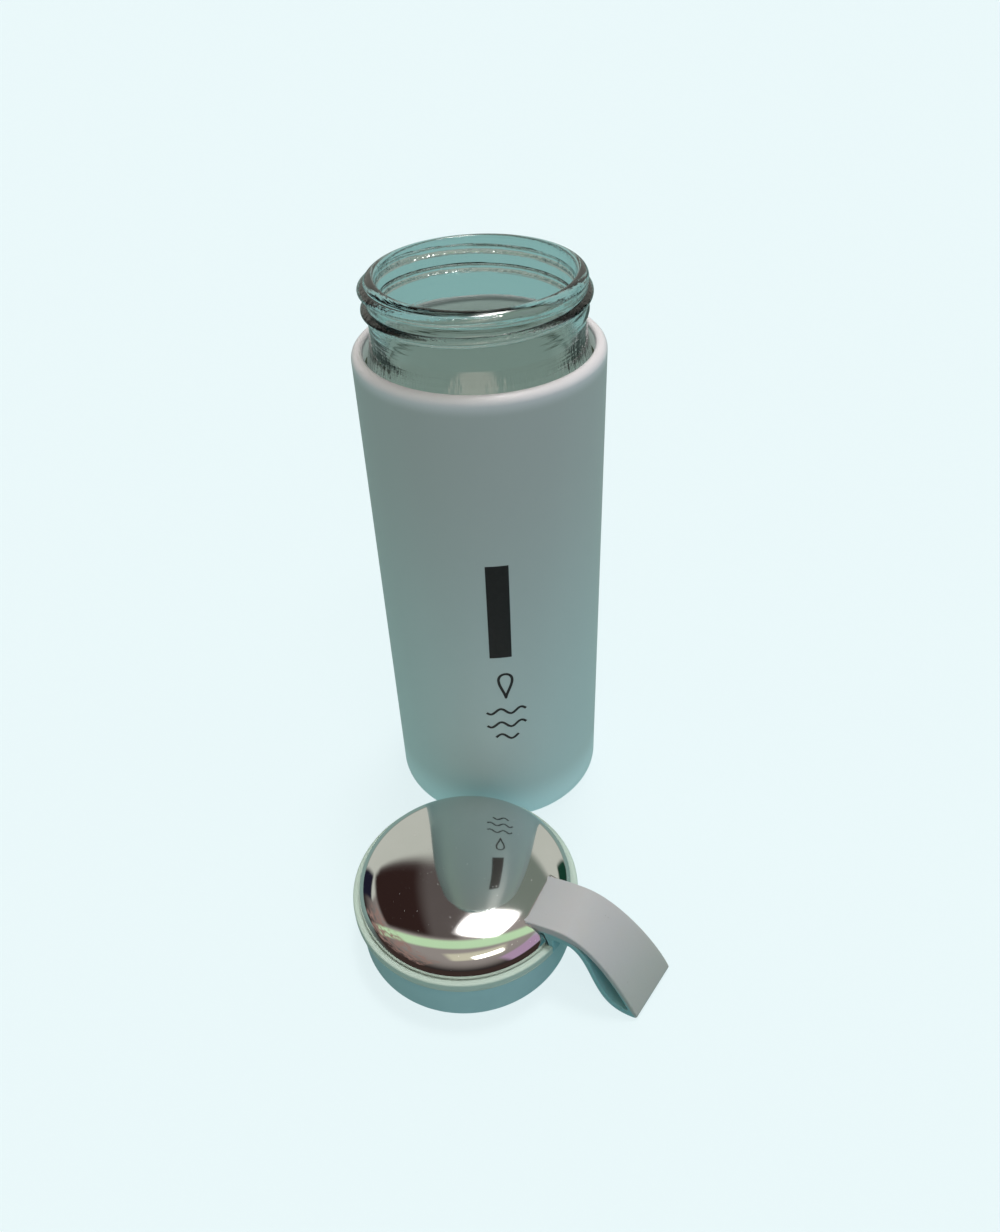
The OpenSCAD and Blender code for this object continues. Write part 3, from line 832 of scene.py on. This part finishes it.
# %% Outline and hole of the loop
upper, upper_n = cubic([[hinge_s, hinge_z + half_t + fit_gap],
                        [hinge_s + 0.35 * reach, hinge_z + 0.02 * drop],
                        [hinge_s + 0.8 * reach, fold_z + 0.49 * drop], [fold_s, fold_z]])
lower, lower_n = cubic([[hinge_s, hinge_z - half_t - fit_gap],
                        [hinge_s + 0.44 * reach, hinge_z - 0.1 * drop],
                        [hinge_s + 0.375 * reach, fold_z - 0.12 * drop], [fold_s, fold_z]])
crown_top = hinge_z + band_t + fit_gap
crown, _ = cubic([[slot_s + fit_gap, crown_top - 1.2 * MM], [slot_s + 3.5 * MM, crown_top - 0.5 * MM],
                  [slot_s + 7 * MM, crown_top + 0.1 * MM], [hinge_s, crown_top]], 16)


def loop_outline():
    """Crown, upper face, round fold, lower face back to the block, then the hidden tab under the dome."""
    first, last = (math.degrees(math.atan2(n[1], n[0])) for n in (upper_n[-1], -lower_n[-1]))
    fold = arc((fold_s, fold_z), half_t, first, last - 360 if last > first else last, 14)
    under, block = hinge_z - band_t - fit_gap, skirt_r - 0.2 * MM
    shown = chain(crown[:-1], (upper + upper_n * half_t), fold[1:-1], (lower - lower_n * half_t)[::-1],
                  arc((ring_r + 0.8 * MM, under - 0.8 * MM), 0.8 * MM, 90, 180, 6),
                  [[ring_r, ring_z + 0.3 * MM], [ring_r - 0.3 * MM, ring_z + 0.05 * MM]])
    hidden = np.array([[block, ring_z + 0.05 * MM], [block, dome_z - 1.4 * MM],
                       [dome_r - dome_wall + 0.15 * MM, dome_z - 0.7 * MM],
                       [dome_r - dome_wall + 0.15 * MM, rim_seat + 0.4 * MM],
                       [neck_r + 0.5 * MM, plate_top + 0.05 * MM], [slot_s - 10 * MM, plate_top + 0.05 * MM],
                       [slot_s - 10 * MM, plate_top + 2 * MM], [slot_s + fit_gap, plate_top + 2 * MM]])
    return chain(even(shown, 0.5 * MM, closed=False), densify(hidden, 1.5 * MM))


def loop_hole():
    """The inner faces of both bands, only where each is clear of the other band, with soft corners."""
    def clear(points, other):
        apart = np.linalg.norm(points[:, None, :] - other[None, :, :], axis=2).min(axis=1)
        return points[apart > half_t * 1.02]
    ceiling = clear(upper - upper_n * half_t, lower)
    bottom = clear(lower + lower_n * half_t, upper)
    return relax(even(np.concatenate([ceiling, bottom[::-1]]), 0.4 * MM), 3)


outer, hole = loop_outline(), loop_hole()
print(f"loop outline of {len(outer)} points and a hole of {len(hole)}")

# %% Loop mesh
def inward(outline):
    """Unit normals that point into a clockwise outline, or out of a hole drawn the same way round."""
    run = np.roll(outline, -1, axis=0) - np.roll(outline, 1, axis=0)
    run /= np.maximum(np.linalg.norm(run, axis=1, keepdims=True), 1e-12)
    return np.stack([run[:, 1], -run[:, 0]], axis=1)


def area(outline):
    """Twice the signed area of a closed outline: positive when it runs anticlockwise."""
    following = np.roll(outline, -1, axis=0)
    return float(np.sum(outline[:, 0] * following[:, 1] - following[:, 0] * outline[:, 1]))


def across_rows(outline, into):
    """The outline at steps across the width, drawn in by a quarter circle of radius r at either edge."""
    r = 0.42 * MM
    quarter = np.radians(np.linspace(0, 90, 6))
    middle = np.linspace(-1, 1, 15)
    shares = [(-1, a) for a in quarter[::-1]] + [(m, 0) for m in middle[1:-1]] + [(1, a) for a in quarter]
    drawn = np.array([r * (1 - math.cos(a)) for _, a in shares])
    edge = np.array([m for m, _ in shares])
    pull = np.array([-r * (1 - math.sin(a)) * np.sign(m) if abs(m) == 1 else -r * m for m, a in shares])
    s = outline[None, :, 0] + into[None, :, 0] * drawn[:, None]
    z = outline[None, :, 1] + into[None, :, 1] * drawn[:, None]
    widen = np.clip((outline[:, 0] - hinge_s) / reach, 0, 1)
    half = (root_w + (fold_w - root_w) * widen)[None, :] / 2
    t = edge[:, None] * half + pull[:, None]
    skew = loop_skew * smooth((outline[:, 0] - hinge_s - 2 * MM) / (reach - 2 * MM))[None, :]
    s = s + skew * (t - fold_w / 2)
    face = ((outline[:, 0] > ring_r - 1 * MM) & (outline[:, 1] < hinge_z - band_t - 0.5 * MM)
            & (outline[:, 0] < ring_r + 0.5 * MM))[None, :]
    s = s - face * (ring_r - np.sqrt(ring_r ** 2 - t ** 2))
    return np.stack([cap_x + s * along.x + t * across.x, cap_y + s * along.y + t * across.y, z], axis=-1)


def loop_mesh():
    """Both outlines carried across the width, with the side faces filled in between them."""
    if area(outer) > 0:
        raise ValueError("the outline runs the wrong way round")
    ring_hole = hole if area(hole) < 0 else hole[::-1]
    shell, opening = across_rows(outer, inward(outer)), across_rows(ring_hole, -inward(ring_hole))
    rows, n, m = shell.shape[0], len(outer), len(ring_hole)
    work = bmesh.new()
    for grid in (shell, opening):
        part = skin("part", grid)
        work.from_mesh(part)
        bpy.data.meshes.remove(part)
    work.verts.ensure_lookup_table()
    for row in (0, rows - 1):
        index = [row * n + i for i in range(n)] + [rows * n + row * m + i for i in range(m)]
        flat = [[Vector((*outer[i], 0)) for i in range(n)], [Vector((*ring_hole[i], 0)) for i in range(m)]]
        for triangle in tessellate_polygon(flat):
            work.faces.new([work.verts[index[i]] for i in triangle])
    mesh = bpy.data.meshes.new("carry_loop")
    work.to_mesh(mesh)
    work.free()
    return tidy_mesh(mesh, sharp=50)


loop = piece("carry_loop", loop_mesh(), None, loop_silicone, ["strap_root", "strap_loop"])
cap_axis, bend_start, bend_end = Vector((cap_x, cap_y, hinge_z)), hinge_s - 1.6 * MM, hinge_s + 2.4 * MM
tuple(cap_axis + along * bend_start)
tuple(cap_axis + along * bend_end)
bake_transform(loop)
print(f"loop bends over {(bend_end - bend_start) / MM:.1f} mm at the hinge")

# %% [markdown]
# ## A plain printed mark
# The sleeve carries a small dark print. Here it is a mark of our own with no letters: a solid bar above a
# water drop and three ripples. Ink is a film, so each shape is a strip a few hundredths of a millimetre
# proud of the sleeve, drawn in arc length and height and wrapped round its radius.

# %% Ink
ink = finish_with("print_ink", {"IOR": 1.5}, rubber_look((0.012, 0.013, 0.014), (0.03, 0.032, 0.034), 800))


def wrapped(name, grid):
    """A (rows, columns, 2) grid of arc length and height, laid on the sleeve as a closed thin film."""
    film = 0.03 * MM
    layers = []
    for radius in (sleeve_r - 0.02 * MM, sleeve_r + film):
        angle = -np.pi / 2 + grid[..., 0] / sleeve_r
        layers.append(np.stack([radius * np.cos(angle), radius * np.sin(angle), grid[..., 1]], axis=-1))
    low, high = layers
    body = np.concatenate([low[::-1], high])
    mesh = skin(name, body, wrap_rows=True, wrap_columns=False)
    work = bmesh.new()
    work.from_mesh(mesh)
    edges = [e for e in work.edges if e.is_boundary]
    bmesh.ops.holes_fill(work, edges=edges)
    work.to_mesh(mesh)
    work.free()
    return tidy_mesh(mesh, sharp=30)


def ribbon(path, width):
    """A line of points widened by half its width to either side."""
    run = np.gradient(path, axis=0)
    run /= np.linalg.norm(run, axis=1, keepdims=True)
    side = np.stack([-run[:, 1], run[:, 0]], axis=1) * width / 2
    return np.stack([path - side, path + side], axis=0)


# %% Print
bar = np.stack(np.meshgrid(np.linspace(-1.5, 4.7, 24), np.linspace(68.5, 100, 12)), axis=-1) * MM
line_w = 0.8 * MM
turn = np.radians(np.linspace(90, 450, 73))
drop_path = np.stack([2.6 + 3.0 * np.cos(turn) * np.cos(turn / 2 - np.pi / 4) ** 2,
                      57.6 + 4.6 * np.sin(turn)], axis=1) * MM
waves = [np.stack([x, z0 + 1.0 * np.sin(x * 1.05 + 0.6)], axis=1) * MM
         for x, z0 in ((np.linspace(-3.2, 8.4, 60), 47.6), (np.linspace(-3.2, 8.4, 60), 42.2),
                       (np.linspace(-0.8, 6.0, 40), 37.2))]
shapes = {"print_bar": bar, "print_drop": ribbon(drop_path, line_w)}
shapes.update({f"print_ripple_{i + 1}": ribbon(path, line_w) for i, path in enumerate(waves)})
for name, grid in shapes.items():
    piece(name, wrapped(name, grid), "bottle", ink)
